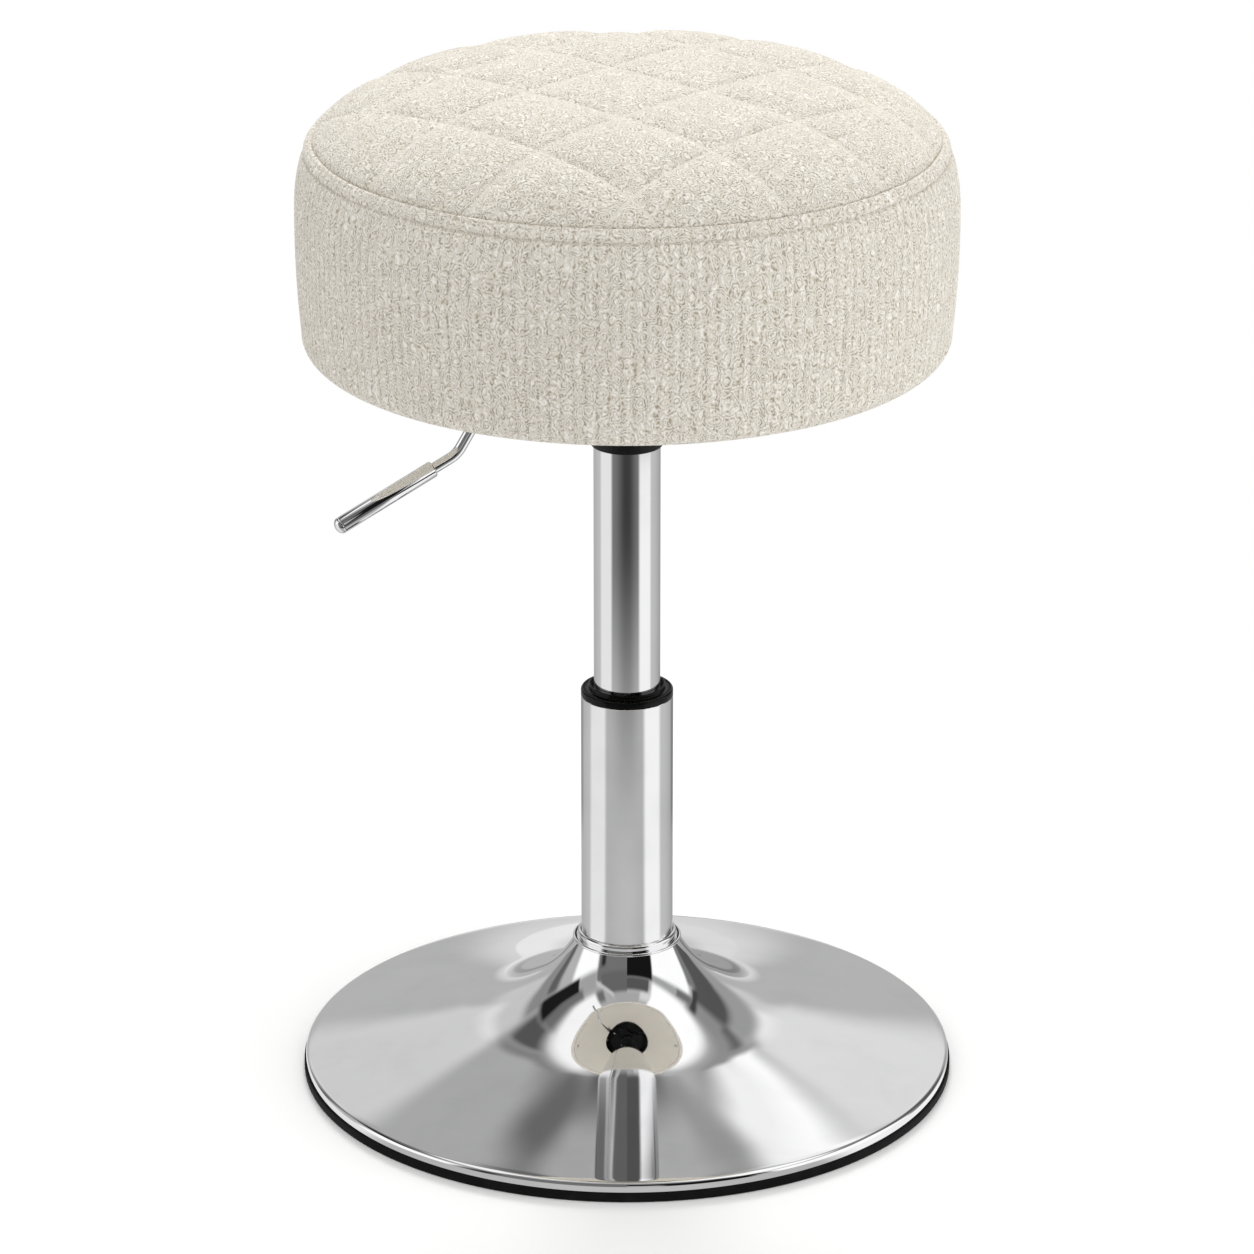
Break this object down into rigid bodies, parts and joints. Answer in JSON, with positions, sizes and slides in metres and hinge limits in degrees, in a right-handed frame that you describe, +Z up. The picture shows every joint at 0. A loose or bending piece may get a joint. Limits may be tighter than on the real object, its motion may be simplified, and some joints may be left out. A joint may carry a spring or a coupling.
{
  "type": "bar stool",
  "caption": "Round swivel stool with a quilted upholstered drum seat on a chromed gas-lift column, hand lever and chromed trumpet base.",
  "frame": {"origin": "centre of the base on the floor, under the column's axis", "axes": "+Z up along the column, X to the viewer's right and Y away from the viewer in the picture, so the lever points to the front left"},
  "size_m": [0.3869, 0.387, 0.61],
  "materials": {
    "base_chrome": "mirror-bright chromed pressing",
    "column_chrome": "bright chromed tube",
    "lever_chrome": "bright chromed rod",
    "floor_rubber": "matt black",
    "seal_rubber": "matt black",
    "bush_plastic": "glossy black",
    "hub_paint": "satin black",
    "plate_steel": "plain rolled",
    "bearing_steel": "ground",
    "fastener_steel": "zinc plated",
    "piston_aluminium": "turned",
    "frame_wood": "raw plywood",
    "foam": "open-cell foam",
    "seat_fabric": "cream looped pile"
  },
  "bodies": {
    "base": {"floor_ring": "floor_rubber", "base_shell": "base_chrome", "neck_ring": "base_chrome", "weight_plate": "plate_steel", "column_foot": "plate_steel", "foot_screws": "fastener_steel", "foot_nuts": "fastener_steel", "column_tube": "column_chrome", "guide_bush": "bush_plastic", "lower_race": "bearing_steel"},
    "cage": {"bearing_balls": "bearing_steel", "bearing_cage": "bush_plastic"},
    "spindle": {"upper_race": "bearing_steel", "piston_rod": "bearing_steel", "rod_clip": "fastener_steel", "bump_stop": "seal_rubber", "piston": "piston_aluminium", "piston_seal": "seal_rubber", "piston_nut": "fastener_steel"},
    "seat": {"lift_tube": "column_chrome", "pressure_tube": "bearing_steel", "spacer_ring": "bush_plastic", "rod_guide": "piston_aluminium", "rod_seal": "seal_rubber", "taper_head": "bearing_steel", "socket_hub": "hub_paint", "seat_plate": "hub_paint", "seat_bolts": "fastener_steel", "seat_washers": "fastener_steel", "tee_nuts": "fastener_steel", "pivot_bracket": "hub_paint", "pivot_pin": "fastener_steel", "pin_clip": "fastener_steel", "frame_ring": "frame_wood", "frame_screws": "fastener_steel", "seat_board": "frame_wood", "underside_panel": "seat_fabric", "panel_screws": "fastener_steel", "seat_foam": "foam", "edge_foam": "foam", "seat_top_cover": "seat_fabric", "seat_side_band": "seat_fabric"},
    "lever": {"lever_rod": "lever_chrome", "lever_grip": "lever_chrome", "grip_cap": "lever_chrome"},
    "valve": {"valve_pin": "bearing_steel"}
  },
  "joints": [
    {"name": "swivel", "type": "hinge", "parent": "base", "child": "spindle", "pos_m": [0, 0, 0.0188], "axis": [0, 0, 1], "continuous": true},
    {"name": "cage_roll", "type": "hinge", "parent": "base", "child": "cage", "pos_m": [0, 0, 0.0188], "axis": [0, 0, 1], "continuous": true},
    {"name": "lift", "type": "slide", "parent": "spindle", "child": "seat", "axis": [0, 0, 1], "range_m": [-0.135, 0]},
    {"name": "lever_lift", "type": "hinge", "parent": "seat", "child": "lever", "pos_m": [-0.03143, -0.01296, 0.472], "axis": [-0.3811, 0.9245, 0], "range_deg": [0, 5], "stiffness_Nm_per_rad": 3, "springref_deg": -4.58},
    {"name": "valve_press", "type": "slide", "parent": "seat", "child": "valve", "axis": [0, 0, 1], "range_m": [-0.003, 0]}
  ],
  "couplings": [
    {"joint": "cage_roll", "follows": "swivel", "ratio": 0.5},
    {"joint": "valve_press", "follows": "lever_lift", "m_per_rad": -0.034}
  ]
}
